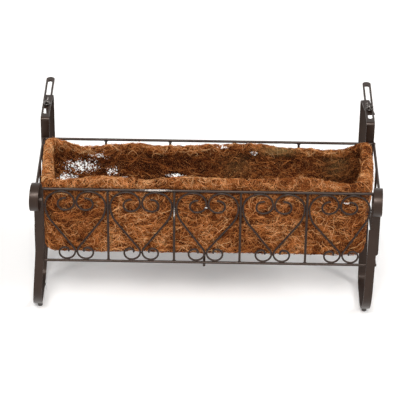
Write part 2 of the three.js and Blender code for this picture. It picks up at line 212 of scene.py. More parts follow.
wear_and_glint_mask = add(
    paint_tree,
    "ShaderNodeMapRange",
    {"Value": wear_and_glint_specks.outputs[0], "From Min": 0.32, "From Max": 0.46},
)
# Pale specks: worn paint, and painted highlight on the top rail and on a divider.
worn_and_glint_colour = add(
    paint_tree,
    "ShaderNodeMix",
    {"Factor": wear_and_glint_mask.outputs[0], 6: coat_colour.outputs[2], 7: linear("#B9B1A9")},
    data_type="RGBA",
)
coat_roughness = add(
    paint_tree,
    "ShaderNodeMapRange",
    {"Value": cloud.outputs["Fac"], "From Min": 0.3, "From Max": 0.7, "To Min": 0.3, "To Max": 0.42},
)
peel = add(paint_tree, "ShaderNodeTexNoise", {"Vector": paint_place, "Scale": 900.0, "Detail": 1.0})
peel_bump = add(
    paint_tree,
    "ShaderNodeBump",
    {"Strength": 0.12, "Distance": 0.0004, "Height": peel.outputs["Fac"]},
)
paint_shader = add(
    paint_tree,
    "ShaderNodeBsdfPrincipled",
    {
        "Base Color": worn_and_glint_colour.outputs[2],
        "Roughness": coat_roughness.outputs[0],
        "Specular IOR Level": 0.38,
        "Specular Tint": linear("#FFE9DC"),
        "Normal": peel_bump.outputs[0],
    },
)
paint_tree.links.new(paint_shader.outputs[0], paint_surface)


def make_mesh(name, points, face_groups, weld=0.0):
    """
    A mesh from points (n, 3) in mm about the rail's middle, and arrays of faces, each of one corner count.
    With a weld distance in mm, points as near as that become one and the faces are turned outwards.
    """
    mesh = bpy.data.meshes.new(name)
    corners = np.concatenate([group.ravel() for group in face_groups]).astype(np.int32)
    counts = np.concatenate([np.full(len(group), group.shape[1]) for group in face_groups])
    starts = np.concatenate([[0], np.cumsum(counts)[:-1]]).astype(np.int32)
    mesh.vertices.add(len(points))
    mesh.loops.add(len(corners))
    mesh.polygons.add(len(counts))
    mesh.vertices.foreach_set("co", (points * MM + np.array(rail_middle)).astype(np.float32).ravel())
    mesh.loops.foreach_set("vertex_index", corners)
    mesh.polygons.foreach_set("loop_start", starts)
    mesh.update(calc_edges=True)
    mesh.validate()
    if weld:
        shape = bmesh.new()
        shape.from_mesh(mesh)
        bmesh.ops.remove_doubles(shape, verts=shape.verts, dist=weld * MM)
        bmesh.ops.dissolve_degenerate(shape, edges=shape.edges, dist=weld * MM / 10)
        bmesh.ops.recalc_face_normals(shape, faces=shape.faces)
        shape.to_mesh(mesh)
        shape.free()
    return mesh


def show(mesh, material, body, replaced=(), sharp=40):
    """Puts a finished mesh in the scene as a smooth piece that rides on a CAD body."""
    mesh.materials.append(material)
    mesh.shade_smooth()
    mesh.set_sharp_from_angle(angle=math.radians(sharp))
    piece = bpy.data.objects.new(mesh.name, mesh)
    bpy.context.scene.collection.objects.link(piece)
    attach(piece, body)
    if replaced:
        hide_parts(*replaced)
    return piece


def node_box(node):
    """A CAD node's low and high corners, in mm about the rail's middle."""
    return [(np.array(corner) - np.array(rail_middle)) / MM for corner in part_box(node)]


def vertex_places(mesh):
    """A mesh's points (n, 3), in mm about the rail's middle."""
    places = np.empty(len(mesh.vertices) * 3, np.float32)
    mesh.vertices.foreach_get("co", places)
    return (places.reshape(-1, 3) - np.array(rail_middle)) / MM


def ring_faces(rings, sides, closed=False):
    """Faces between rings of points: each joins a point, the next one round, and the two on the next ring."""
    row, column = np.meshgrid(np.arange(rings if closed else rings - 1), np.arange(sides), indexing="ij")
    onward, beside = (row + 1) % rings * sides, (column + 1) % sides
    corners = [row * sides + column, row * sides + beside, onward + beside, onward + column]
    return np.stack(corners, axis=-1).reshape(-1, 4)


# The same faces turned over, still from the same first corner.
other_way_round = [0, 3, 2, 1]


def carried_ring(path, radii, side_way, sides):
    """
    A tube: at each point of the path stands a ring, the path's point plus the radius times
    (cosine of the turn, along the side way; sine of the turn, along side way x heading).
    """
    heading = np.gradient(path, axis=0)
    heading /= np.linalg.norm(heading, axis=1, keepdims=True)
    other_way = np.cross(side_way, heading)
    turn = 2 * np.pi * np.arange(sides) / sides
    ring = np.cos(turn)[None, :, None] * side_way + np.sin(turn)[None, :, None] * other_way[:, None, :]
    points = (path[:, None, :] + np.asarray(radii)[:, None, None] * ring).reshape(-1, 3)
    walls = ring_faces(len(path), sides)[:, other_way_round]
    caps = np.array([np.arange(sides), (len(path) - 1) * sides + np.arange(sides)[::-1]])
    return points, [walls, caps]


rod_sides = 24
rod_stations = 40
end_ease = 0.6


def rod_piece(node):
    """A straight rod along its CAD node's longest side: even rings, and a smaller one to ease each end."""
    low, high = node_box(node)
    along = int(np.argmax(high - low))
    across = np.eye(3)[(along + 1) % 3]
    radius = (high - low)[(along + 1) % 3] / 2
    stations = np.concatenate(
        [[low[along], low[along] + end_ease], np.linspace(low[along], high[along], rod_stations)[1:-1]]
        + [[high[along] - end_ease, high[along]]]
    )
    path = np.tile((low + high) / 2, (len(stations), 1))
    path[:, along] = stations
    radii = np.full(len(stations), radius)
    radii[[0, -1]] -= end_ease
    points, faces = carried_ring(path, radii, across, rod_sides)
    return make_mesh(node.replace("_", "-") + "_rod", points, faces)


rail_nodes = [f"{panel}_{height}_rail" for panel in ("front", "rear") for height in ("top", "bottom")]
rail_nodes += [f"{side}_{height}_side_rail" for side in ("left", "right") for height in ("top", "bottom")]
upright_nodes = [f"{panel}_divider_{i}" for panel in ("front", "rear") for i in (1, 2, 3, 4)]
upright_nodes += [f"{side}_{kind}" for side in ("left", "right") for kind in ("end_post", "end_divider")]

# Where pale specks are painted: worn paint and a painted highlight on the top rail, and a painted
# highlight on the second front divider. The middle of each mark, then its reach along x, y and z.
wear_and_glint_places = {
    "front_top_rail": ((-117, -2, 2), (54, 4, 5)),
    "front_divider_2": ((-76.25, -3, -60), (4, 3, 22)),
}


def mark_wear_and_glint(mesh, middle, reach):
    """Marks worn paint and painted highlight: 1 at the middle, falling as a bell to the reach along x, y, z.
    """
    away = (vertex_places(mesh) - middle) / reach
    mark = mesh.attributes.new("wear_and_glint", "FLOAT", "POINT")
    mark.data.foreach_set("value", np.exp(-(away**2).sum(1)).astype(np.float32))


for node in rail_nodes + upright_nodes + ["centre_cross_rod"]:
    rod_mesh = rod_piece(node)
    if node in wear_and_glint_places:
        mark_wear_and_glint(rod_mesh, *wear_and_glint_places[node])
    show(rod_mesh, paint, "basket_frame", [node])

# ---------------------------------------------------------------------------------------------
# Heart scrolls. Each half heart is 4.5 mm wire bent round pegs into arcs that run into each other:
# upper curl, lobe, shoulder, straight side, lower curl. The halves are welded into each bay.
# ---------------------------------------------------------------------------------------------

wire_radius = 2.25
weld_gap = 0.3
rail_radius = 3.175
basket_height = 195.6
divider_radius = 2.75
divider_pitch = 152.5
end_post_x = 378
heart_foot_shifts = (0, 0, -3, 0, 8.5)
wire_sides = 14
# The pegs' radii, in the order in which the wire meets them from its upper end.
upper_hook_radius, upper_curl_radius = 16, 22
lobe_radius, shoulder_radius = 38.5, 75
lower_turn_radius, lower_curl_radius, lower_crown_radius, lower_hook_radius = 20, 17, 14, 8


def arc(centre, radius, start, end, step=5):
    """Points on an arc in a plane, from one angle to another in degrees."""
    angle = np.radians(np.linspace(start, end, max(2, int(abs(end - start) / step) + 2)))
    return np.stack([centre[0] + radius * np.cos(angle), centre[1] + radius * np.sin(angle)], axis=-1)


def heart_half(half_width, foot_shift):
    """(x, z) along one half heart: each arc's centre is set so that it starts in line with the one before."""
    top = -(rail_radius + weld_gap + wire_radius)
    bottom = -basket_height - top
    inner = wire_radius + weld_gap / 2
    lobe = (half_width - lobe_radius, top - lobe_radius)
    crown_radius = lobe[0] - inner
    crown = (lobe[0], top - crown_radius)
    upper_curl = (inner + upper_curl_radius, crown[1])
    upper_hook = (upper_curl[0], upper_curl[1] - upper_curl_radius + upper_hook_radius)
    shoulder = (half_width - shoulder_radius, lobe[1])
    lower_turn = (inner + foot_shift + lower_turn_radius, bottom + lower_turn_radius)
    lower_curl = (lower_turn[0], bottom + lower_curl_radius)
    lower_crown = (lower_curl[0] + lower_curl_radius - lower_crown_radius, lower_curl[1])
    lower_hook = (lower_crown[0], lower_crown[1] + lower_crown_radius - lower_hook_radius)
    # The straight side touches the shoulder's circle and the lower turn's, and crosses between them.
    reach = np.subtract(lower_turn, shoulder)
    to_tangent = math.acos((shoulder_radius + lower_turn_radius) / np.linalg.norm(reach))
    tangent = math.degrees(math.atan2(reach[1], reach[0]) + to_tangent)
    line = np.concatenate(
        [
            arc(upper_hook, upper_hook_radius, 102, -90),
            arc(upper_curl, upper_curl_radius, -90, -180),
            arc(crown, crown_radius, 180, 90),
            arc(lobe, lobe_radius, 90, 0),
            arc(shoulder, shoulder_radius, 0, tangent),
            arc(lower_turn, lower_turn_radius, tangent + 180, 270),
            arc(lower_curl, lower_curl_radius, -90, 0),
            arc(lower_crown, lower_crown_radius, 0, 90),
            arc(lower_hook, lower_hook_radius, 90, 205),
        ]
    )
    keep = np.concatenate([[True], np.linalg.norm(np.diff(line, axis=0), axis=1) > 0.05])
    return line[keep]


# Spots (x, z) where the scrolls are welded: to the uprights, to both rails, and to each other.
heart_spots = []
upper_join_z = -48.0
lower_join_rise = 24
scroll_foot_out = 24.25
lobe_z = -(rail_radius + weld_gap + wire_radius) - lobe_radius
# The dividers stand half a pitch and one and a half pitches to each side of the middle.
for i, foot_shift in enumerate(heart_foot_shifts):
    left_post = -end_post_x if i == 0 else (i - 2.5) * divider_pitch
    right_post = end_post_x if i == 4 else (i - 1.5) * divider_pitch
    centre_x = (left_post + right_post) / 2
    half_width = (right_post - left_post) / 2 - divider_radius - weld_gap - wire_radius
    for side, sign in (("left", -1), ("right", 1)):
        half = heart_half(half_width, sign * foot_shift)
        path = np.stack([centre_x + sign * half[:, 0], np.zeros(len(half)), half[:, 1]], axis=-1)
        radii = np.full(len(path), wire_radius)
        radii[[0, -1]] = wire_radius * 0.8
        wire_points, wire_faces = carried_ring(path, radii, np.array([0.0, 1.0, 0.0]), wire_sides)
        node = f"heart_{i + 1}_{side}_scroll"
        wire_mesh = make_mesh(f"heart-{i + 1}-{side}_wire", wire_points, wire_faces)
        show(wire_mesh, paint, "basket_frame", [node])
        heart_spots += [
            (centre_x + sign * (half_width + wire_radius), lobe_z),
            (centre_x + sign * (half_width - lobe_radius), -rail_radius),
            (centre_x + sign * scroll_foot_out + foot_shift, rail_radius - basket_height),
        ]
    heart_spots += [(centre_x, upper_join_z), (centre_x + foot_shift, -basket_height + lower_join_rise)]

# ---------------------------------------------------------------------------------------------
# Weld beads. Small lumps of weld metal where an upright or a scroll meets its rail, painted over
# with the rest; one on the middle heart has lost its paint and shows bare steel, near-white as a painted
# glint.
# ---------------------------------------------------------------------------------------------


def beads(name, centres, sizes, seed):
    """Lumps of weld: balls of rings and columns, stretched to their sizes, each radius swollen by chance."""
    rng = np.random.default_rng(seed)
    rings, columns = 6, 8
    height = np.radians(np.linspace(-75, 75, rings))
    turn = 2 * np.pi * np.arange(columns) / columns
    ball = np.stack(
        [
            np.cos(height)[:, None] * np.cos(turn),
            np.cos(height)[:, None] * np.sin(turn),
            np.repeat(np.sin(height)[:, None], columns, axis=1),
        ],
        axis=-1,
    )
    swell = rng.uniform(0.8, 1.15, (len(centres), rings, columns, 1))
    points = np.asarray(centres)[:, None, None, :] + ball * swell * np.asarray(sizes)[:, None, None, :]
    caps = np.array([np.arange(columns)[::-1], (rings - 1) * columns + np.arange(columns)])
    step = (np.arange(len(centres)) * rings * columns)[:, None, None]
    faces = [(ring_faces(rings, columns) + step).reshape(-1, 4), (caps + step).reshape(-1, columns)]
    return make_mesh(name, points.reshape(-1, 3), faces)


# Half sizes along x, y and z of a bead on a scroll and of one on an upright or in a corner.
heart_bead = (1.5, 1.8, 1.9)
upright_bead = (1.8, 1.8, 1.5)
heart_bead_y = 0.6
bead_sink = 0.4
corner_x, corner_rise = 389.5, 3.0
corner_depths = (3.2, 220.8)

front_centres = [(x, heart_bead_y, z) for x, z in heart_spots]
front_sizes = [heart_bead] * len(front_centres)
upright_centres = []
for node in upright_nodes:
    low, high = node_box(node)
    middle, radius = (low + high) / 2, (high[0] - low[0]) / 2
    sideways = np.eye(3)[1 if "end_divider" in node else 0]
    for sign in (-1, 1):
        foot = middle * (1, 1, 0) + sideways * sign * radius
        upright_centres += [foot + (0, 0, high[2] - bead_sink), foot + (0, 0, low[2] + bead_sink)]
corner_centres = [
    (sign * corner_x, y, z + corner_rise)
    for sign in (-1, 1)
    for y in corner_depths
    for z in (0, -basket_height)
]
show(beads("weld-beads_hearts", front_centres, front_sizes, 1), paint, "basket_frame")
all_uprights = upright_centres + corner_centres
upright_sizes = [upright_bead] * len(all_uprights)
show(beads("weld-beads_cage", all_uprights, upright_sizes, 2), paint, "basket_frame")


def mottled(name, scale, detail, dark, light, relief=0.0, **finish):
    """A material whose tone and height wander with one noise, of a grain 1 / scale metres across."""
    material, tree, surface = new_material(name)
    place = add(tree, "ShaderNodeTexCoord").outputs["Object"]
    grain = {"Vector": place, "Scale": scale, "Detail": detail}
    noise = add(tree, "ShaderNodeTexNoise", grain).outputs["Fac"]
    tones = {"Factor": noise, 6: linear(dark), 7: linear(light)}
    links = {"Base Color": add(tree, "ShaderNodeMix", tones, data_type="RGBA").outputs[2], **finish}
    if relief:
        heights = {"Strength": relief, "Distance": 0.0003, "Height": noise}
        links["Normal"] = add(tree, "ShaderNodeBump", heights).outputs[0]
    shader = add(tree, "ShaderNodeBsdfPrincipled", links)
    tree.links.new(shader.outputs[0], surface)
    return material


# Bare weld metal: steel painted near-white as a glint, mottled every 1.5 mm by the ripples of the weld.
bare_steel_glint = mottled("bare_weld_steel_painted_glint", 700.0, 2.0, "#8E8882", "#F2EFEA", Metallic=0.8, Roughness=0.35)
bare_centres = [(-4.0, -1.6, -43.5), (-1.4, -1.2, -44.5)]
bare_sizes = [(2.8, 1.4, 1.5), (1.6, 1.3, 1.3)]
burr = beads("weld-bead_bare", bare_centres, bare_sizes, 3)
show(burr, bare_steel_glint, "basket_frame")

# ---------------------------------------------------------------------------------------------
# Brackets. Mild steel flat bar 20 x 3 mm, bent cold. The short bar ends in a ring curl in front of
# the top rail; the long one is welded behind its lap, hangs below, turns under the basket, climbs
# behind it and reaches back as a slotted arm. Same bronze powder coat.
# ---------------------------------------------------------------------------------------------

bar_width = 20
bar_thickness = 3
bar_crown = 0.35
bracket_x = 387.5
curl_strap_y = -(rail_radius + weld_gap + bar_thickness / 2)
hanger_front_y = curl_strap_y - bar_thickness - weld_gap
basket_depth = 224
upright_y = basket_depth + rail_radius + weld_gap + bar_thickness / 2
arm_z = 53
arm_length = 199
arm_end_y = upright_y + arm_length
hanger_x = {"left": -388, "right": 382}
hanger_splay = {"left": -12, "right": -5}


def bent_line(corners, step=4):
    """A line through corners (y, z, radius), each corner cut by the arc that touches both of its legs."""
    pieces = []
    for i, (y, z, radius) in enumerate(corners):
        corner = np.array([y, z], float)
        if not radius:
            pieces.append(corner[None])
            continue
        back = np.array(corners[i - 1][:2]) - corner
        onward = np.array(corners[i + 1][:2]) - corner
        back, onward = back / np.linalg.norm(back), onward / np.linalg.norm(onward)
        half_angle = math.acos(back @ onward) / 2
        bisector = (back + onward) / np.linalg.norm(back + onward)
        centre = corner + bisector * radius / math.sin(half_angle)
        first = corner + back * radius / math.tan(half_angle) - centre
        last = corner + onward * radius / math.tan(half_angle) - centre
        start, end = math.atan2(first[1], first[0]), math.atan2(last[1], last[0])
        sweep = (end - start + math.pi) % (2 * math.pi) - math.pi
        pieces.append(arc(centre, radius, math.degrees(start), math.degrees(start + sweep), step))
    return np.concatenate(pieces)


def round_stations(from_place, way, radius):
    """Places along a bar where a half circle is sampled: the place + way x radius x (1 - cosine)."""
    return from_place + way * radius * (1 - np.cos(np.radians(np.arange(0, 91, 9))))


def bar_mesh(name, line, round_ends=(False, False), slot=None, sideways=None, feather=0.0):
    """
    A flat bar along a (y, z) line. Across the bar stand columns at x = gap + (half width - gap) k / 3 on
    each side, where gap is the slot's half width (0 away from it) and half width shrinks as a circle at a
    round end. The faces lie half a thickness off the line, less a crown that falls with x squared. Over the
    feather length at the start the outer face runs evenly down to the inner one. Sideways gives a shift in x
    at (y, z).
    """
    run = np.concatenate([[0], np.cumsum(np.linalg.norm(np.diff(line, axis=0), axis=1))])
    length, half = run[-1], bar_width / 2
    places = [run, np.linspace(0, length, int(length / 6))]
    if round_ends[0]:
        places.append(round_stations(0.02, 1, half))
    if round_ends[1]:
        places.append(round_stations(length - 0.02, -1, half))
    if slot:
        start, end, slot_half = slot
        places += [round_stations(start, 1, slot_half), round_stations(end, -1, slot_half)]
    stations = np.unique(np.round(np.clip(np.concatenate(places), 0, length), 3))
    keep = np.concatenate([[True], np.diff(stations) > 0.04])
    stations = stations[keep]
    centre = np.stack([np.interp(stations, run, line[:, k]) for k in (0, 1)], axis=-1)
    heading = np.gradient(line, run, axis=0)
    heading = np.stack([np.interp(stations, run, heading[:, k]) for k in (0, 1)], axis=-1)
    heading /= np.linalg.norm(heading, axis=1, keepdims=True)
    normal = np.stack([-heading[:, 1], heading[:, 0]], axis=-1)

    width = np.full(len(stations), float(half))
    if round_ends[0]:
        from_start = np.maximum(0, half - stations)
        width = np.minimum(width, np.sqrt(np.maximum(0.0, half**2 - from_start**2)) + 0.3)
    if round_ends[1]:
        from_end = np.maximum(0, half - (length - stations))
        width = np.minimum(width, np.sqrt(np.maximum(0.0, half**2 - from_end**2)) + 0.3)
    width = np.minimum(width, half)
    gap = np.zeros(len(stations))
    if slot:
        from_start = np.maximum(0, start + slot_half - stations)
        from_stop = np.maximum(0, stations - (end - slot_half))
        inside = (stations > start) & (stations < end)
        gap = np.where(inside, np.sqrt(np.maximum(0, slot_half**2 - (from_start + from_stop) ** 2)), 0)

    # Four columns on each side bound three strips; the two middle columns meet where there is no slot.
    steps = np.arange(4) / 3
    across = gap[:, None] + (width - gap)[:, None] * steps
    x = np.concatenate([-across[:, ::-1], across], axis=1)
    off = bar_thickness / 2 - bar_crown * (x / half) ** 2
    columns = x.shape[1]
    faces_at = []
    ground = np.clip(1 - stations / feather, 0, 0.92)[:, None] if feather else 0.0
    for face in (1, -1):
        reach = off if face == 1 else off * (1 - 2 * ground)
        plane = centre[:, None, :] + face * reach[..., None] * normal[:, None, :]
        shift = 0 if sideways is None else sideways(plane[..., 0], plane[..., 1])
        faces_at.append(np.stack([x + shift, plane[..., 0], plane[..., 1]], axis=-1))
    points = np.concatenate([side.reshape(-1, 3) for side in faces_at])
    under = len(stations) * columns
    row = np.arange(len(stations) - 1)[:, None] * columns
    strips = np.array([0, 1, 2, 4, 5, 6])
    here = row + strips
    top = np.stack([here, here + 1, here + 1 + columns, here + columns], axis=-1).reshape(-1, 4)
    open_rows = (gap[:-1] + gap[1:] > 0)[:, None]
    edges = [(0, np.ones_like(open_rows)), (7, np.ones_like(open_rows)), (3, open_rows), (4, open_rows)]
    walls = []
    for column, kept in edges:
        here = (row + column)[kept]
        walls.append(np.stack([here, here + columns, here + columns + under, here + under], axis=-1))
    closing = []
    for base in (0, (len(stations) - 1) * columns):
        here = base + strips
        closing.append(np.stack([here, here + 1, here + 1 + under, here + under], axis=-1))
    return make_mesh(name, points, [top, top + under, *walls, *closing], weld=0.03)


rolled_edge = 0.45


def ease(piece):
    """Rolled flat bar has softly rounded edges: a bevel on every edge sharper than 50 degrees."""
    bevel = piece.modifiers.new("rolled edge", "BEVEL")
    bevel.width = rolled_edge * MM
    bevel.segments = 2
    bevel.limit_method = "ANGLE"
    bevel.angle_limit = math.radians(50)


def moved(mesh, x=0.0, y=0.0, z=0.0, turn=0.0):
    """Turns a mesh about Z through the rail's middle, in degrees, then moves its points, in mm."""
    origin = Matrix.Translation(rail_middle)
    there = Matrix.Translation(Vector((x, y, z)) * MM)
    mesh.transform(origin @ there @ Matrix.Rotation(math.radians(turn), 4, "Z") @ origin.inverted())
    return mesh


curl_radius = 31
curl_turn = 322
curl_end_z = -167
curl_ring = arc((curl_strap_y - curl_radius, 0), curl_radius, 0, curl_turn, 4)
curl_line = np.concatenate([[[curl_strap_y, curl_end_z]], curl_ring])
front_low_y = hanger_front_y - 8
under_z = -345
hanger_top_z = -93
hanger_corners = [
    (hanger_front_y, hanger_top_z, 0),
    (hanger_front_y, -172, 60),  # leans forward below the lap
    (front_low_y, -250, 60),  # and hangs straight again
    (front_low_y, under_z, 80),  # front bend
    (upright_y - 78, under_z, 32),  # rear bend
    (upright_y, -205, 25),  # foot of the upright behind the basket
    (upright_y, arm_z, 6),
    (arm_end_y, arm_z, 0),
]
hanger_line = bent_line(hanger_corners)
hanger_length = np.linalg.norm(np.diff(hanger_line, axis=0), axis=1).sum()
ground_top = 16
slot_half_width = 5.25
slot_from = hanger_length - arm_length + 20
slot_to = hanger_length - 18

ring_skew = {"left": 0.085, "right": 0.04}

for side, sign in (("left", -1), ("right", 1)):

    def skew(y, z, share=ring_skew[side]):
        """Sideways shift of the ring, rolled askew: a share of the distance in front of the strap."""
        return share * np.minimum(0, y - curl_strap_y)

    curl_mesh = bar_mesh(f"{side}-curl_bar", curl_line, (True, False), sideways=skew)
    curl_piece = show(
        moved(curl_mesh, x=sign * bracket_x), paint, "basket_frame", [f"{side}_curl_strap"]
    )
    ease(curl_piece)
    splay = hanger_splay[side]

    def lean(y, z, splay=splay):
        """Sideways shift below the lap: the whole splay times how far down the hanger a point lies."""
        return splay * np.maximum(0, (curl_end_z - z) / (curl_end_z - under_z))

    # Bending shortens the line a little, so the slot is placed from the arm's end, along the arm itself.
    slot = (slot_from, slot_to, slot_half_width)
    hanger_mesh = bar_mesh(f"{side}-hanger_bar", hanger_line, (False, True), slot, lean, ground_top)
    hanger_piece = show(
        moved(hanger_mesh, x=hanger_x[side]), paint, "basket_frame", [f"{side}_hanger_strap"]
    )
    ease(hanger_piece)

# ---------------------------------------------------------------------------------------------
# Feet. Grey moulded plastic discs with a rounded rim, pushed on under each hanger: 7 mm high at the
# rear, and 11 mm in front, where they stand under the end of the wide front bend and reach up to it.
# ---------------------------------------------------------------------------------------------

# Moulded plastic: a dull dark grey with a fine grain of about 2 mm, hardly any gloss.
foot_plastic = mottled("grey_moulded_plastic", 500.0, 2.0, "#403C39", "#57524E", relief=0.2, Roughness=0.55)


def turned(name, profile, sides, ripple=None, hollow=False):
    """
    A turned part: its (radius, z) profile carried round Z, with flat caps on the first and last points, or,
    where it is hollow, a closed outline without caps. A ripple changes the radius by height and turn.
    """
    profile = np.asarray(profile, float)
    turn = 2 * np.pi * np.arange(sides) / sides
    radius = profile[:, :1] if ripple is None else ripple(profile[:, :1], profile[:, 1:], turn[None, :])
    height = np.repeat(profile[:, 1:], sides, axis=1)
    points = np.stack([radius * np.cos(turn), radius * np.sin(turn), height], axis=-1).reshape(-1, 3)
    faces = [ring_faces(len(profile), sides, closed=hollow)]
    if not hollow:
        faces.append(np.array([np.arange(sides)[::-1], (len(profile) - 1) * sides + np.arange(sides)]))
    return make_mesh(name, points, faces)


front_foot_step = 5
front_foot_boss = 4.0
foot_sides = 32
for side in ("left", "right"):
    for end in ("front", "rear"):
        node = f"{side}_{end}_foot"
        low, high = node_box(node)
        radius = (high[0] - low[0]) / 2
        if end == "front":
            low, high = low + (0, front_foot_step, 0), high + (0, front_foot_step, front_foot_boss)
        rim = [(radius - 1.4, low[2]), (radius - 0.4, low[2] + 0.4), (radius, low[2] + 1.4)]
        rim += [(radius - 0.1, high[2] - 1.2), (radius - 0.5, high[2] - 0.3), (radius - 1.2, high[2])]
        foot_mesh = turned(f"{side}-{end}-foot_disc", rim, foot_sides)
        middle = (low + high) / 2
        show(moved(foot_mesh, x=middle[0], y=middle[1]), foot_plastic, "basket_frame", [node])

# ---------------------------------------------------------------------------------------------
# Clamps. A 6 mm hexagon bolt comes up through the L-shaped leg and the arm's slot, and a cast wing
# nut on a washer holds it. The leg is the same flat bar and paint; the hardware is plated dark.
# ---------------------------------------------------------------------------------------------

# Plated steel: dark and glossy metal, cloudy every 4 mm where the plating has dulled.
plate = mottled(
    "dark_plated_steel", 260.0, 3.0, "#2E2A28", "#8F8984", relief=0.25, Metallic=1.0, Roughness=0.24
)

clamp_y = upright_y + 67
play = 0.3
washer_thickness = 1.6
leg_z = -(bar_thickness + play)
head_top = leg_z - bar_thickness / 2 - play
washer_bottom = bar_thickness / 2 + play
nut_bottom = washer_bottom + washer_thickness + play
nut_hub_height = 6
bolt_tip = nut_bottom + nut_hub_height + 2
head_radius = 5.6
shank_radius = 2.8
thread_pitch = 1.0
thread_depth = 0.18
clamp_twist = {"left": -3, "right": 8.5}
nut_turn = {"left": 74, "right": -42}


def hexagon(radius, height, turn):
    """
    On the head, the radius swings between a hexagon's corners and flats. On the shank it rises and falls
    once in a thread pitch, as a sine of the height less the turn.
    """
    flat = head_radius * math.cos(math.pi / 6)
    six = flat / np.cos((turn + math.pi / 6) % (math.pi / 3) - math.pi / 6)
    on_head = (height < head_top) & (radius > 4)
    threaded = (height > head_top + 1) * (height < bolt_tip - 0.6)
    thread = thread_depth * np.sin(2 * np.pi * height / thread_pitch - turn) * threaded
    return np.where(on_head, np.minimum(six, radius * 1.05), radius + thread)


bolt_profile = [(3.6, head_top - 4.0), (4.9, head_top - 3.9)]
bolt_profile += [(head_radius, head_top - 3.5), (head_radius, head_top - 0.1)]
bolt_profile += [(4.2, head_top - 0.05), (shank_radius, head_top + 0.05)]
bolt_profile += [(shank_radius, z) for z in np.arange(head_top + 0.3, bolt_tip - 0.5, 0.2)]
bolt_profile += [(2.4, bolt_tip - 0.2), (2.0, bolt_tip)]

washer_top = washer_bottom + washer_thickness
washer_outline = [(3.3, washer_bottom + 0.2), (3.5, washer_bottom)]
washer_outline += [(8.8, washer_bottom), (9, washer_bottom + 0.3)]
washer_outline += [(9, washer_top - 0.4), (8.6, washer_top), (3.6, washer_top), (3.3, washer_top - 0.3)]

oval_sides = 20


def wing_nut_mesh(name):
    """
    A hub with a bore, and two wings: each wing is a stack of ovals along x, whose height follows the wing's
    outline and whose thickness thins to the tip. Hub and wings are fused by a fine remesh, as a casting.
    """
    top = nut_bottom + nut_hub_height
    hub_outline = [(3.3, nut_bottom), (5.2, nut_bottom), (5.5, nut_bottom + 0.6)]
    hub_outline += [(4.6, top - 0.4), (4.3, top), (3.3, top)]
    hub = turned(name + "_hub", hub_outline, 40, hollow=True)
    x = np.linspace(3.7, 11.7, 15)
    share = (x - x[0]) / (x[-1] - x[0])
    low = nut_bottom + 0.8 + 4.6 * share**1.4
    high = nut_bottom + 5.4 + 5.6 * np.sin(np.pi / 2 * np.minimum(1, share * 1.35)) - 2.2 * share**6
    thick = 1.5 - 0.5 * share
    close = np.sqrt(np.clip(1 - ((share - 0.5) * 2) ** 12, 0.04, 1))
    turn = 2 * np.pi * np.arange(oval_sides) / oval_sides
    middle, reach = (low + high) / 2, (high - low) / 2 * close
    wings = []
    for sign in (-1, 1):
        oval_y = (thick * close)[:, None] * np.cos(turn)
        oval_z = middle[:, None] + reach[:, None] * np.sin(turn)
        oval_x = np.repeat(sign * x[:, None], oval_sides, axis=1)
        points = np.stack([oval_x, oval_y, oval_z], axis=-1).reshape(-1, 3)
        # The two wings mirror each other, so their faces turn opposite ways.
        walls = ring_faces(len(x), oval_sides)[:, other_way_round if sign > 0 else [1, 2, 3, 0]]
        rim = np.arange(oval_sides)
        caps = np.array([rim[::sign], ((len(x) - 1) * oval_sides + rim)[::-sign]])
        wings.append(make_mesh(name + "_wing", points, [walls, caps]))
    joined = bmesh.new()
    for part in (hub, *wings):
        joined.from_mesh(part)
    bmesh.ops.recalc_face_normals(joined, faces=joined.faces)
    rough = bpy.data.meshes.new(name)
    joined.to_mesh(rough)
    joined.free()
    stand_in = bpy.data.objects.new(name + "_rough", rough)
    bpy.context.scene.collection.objects.link(stand_in)
    remesh = stand_in.modifiers.new("casting", "REMESH")
    remesh.mode = "VOXEL"
    remesh.voxel_size = 0.3 * MM
    smooth = stand_in.modifiers.new("fillet", "SMOOTH")
    smooth.factor = 0.5
    smooth.iterations = 4
    bpy.context.view_layer.update()
    fused = bpy.data.meshes.new_from_object(stand_in.evaluated_get(bpy.context.evaluated_depsgraph_get()))
    bpy.data.objects.remove(stand_in)
    fused.name = name
    return fused


# How far each leg's flat end stands in front of its bolt, and the size of the rest of the L.
leg_fronts = {"left": 13, "right": 20}
leg_reach, leg_drop, leg_bend = 53, 125, 6
leg_hole_radius = 3.3
round_sides = 48

for side in ("left", "right"):
    x = hanger_x[side]
    leg_front = leg_fronts[side]
    leg_corners = [(-leg_front, leg_z, 0), (leg_reach, leg_z, leg_bend), (leg_reach, leg_z - leg_drop, 0)]
    hole = (leg_front - leg_hole_radius, leg_front + leg_hole_radius, leg_hole_radius)
    leg_mesh = bar_mesh(f"{side}-clamp-leg_bar", bent_line(leg_corners), (False, True), hole)
    leg_piece = show(
        moved(leg_mesh, x, clamp_y, arm_z, clamp_twist[side]),
        paint,
        f"{side}_clamp_leg",
        [f"{side}_clamp_leg"],
    )
    ease(leg_piece)
    bolt_mesh = turned(f"{side}-clamp-bolt_hex", bolt_profile, round_sides, hexagon)
    washer_mesh = turned(f"{side}-clamp-washer_disc", washer_outline, round_sides, hollow=True)
    for mesh, node in ((bolt_mesh, f"{side}_clamp_bolt"), (washer_mesh, f"{side}_clamp_washer")):
        show(moved(mesh, x, clamp_y, arm_z), plate, f"{side}_clamp_slider", [node])
    nut_mesh = moved(wing_nut_mesh(f"{side}-wing-nut_casting"), x, clamp_y, arm_z, nut_turn[side])
    show(nut_mesh, plate, f"{side}_wing_nut", [f"{side}_wing_nut"], sharp=60)

# ---------------------------------------------------------------------------------------------
# Coco liner. Coconut fibre needled and pressed into a mat about 10 mm thick, bonded with natural
# rubber and moulded to a tray that drops into the basket. Its lip is torn and wavy, higher in front.
# ---------------------------------------------------------------------------------------------

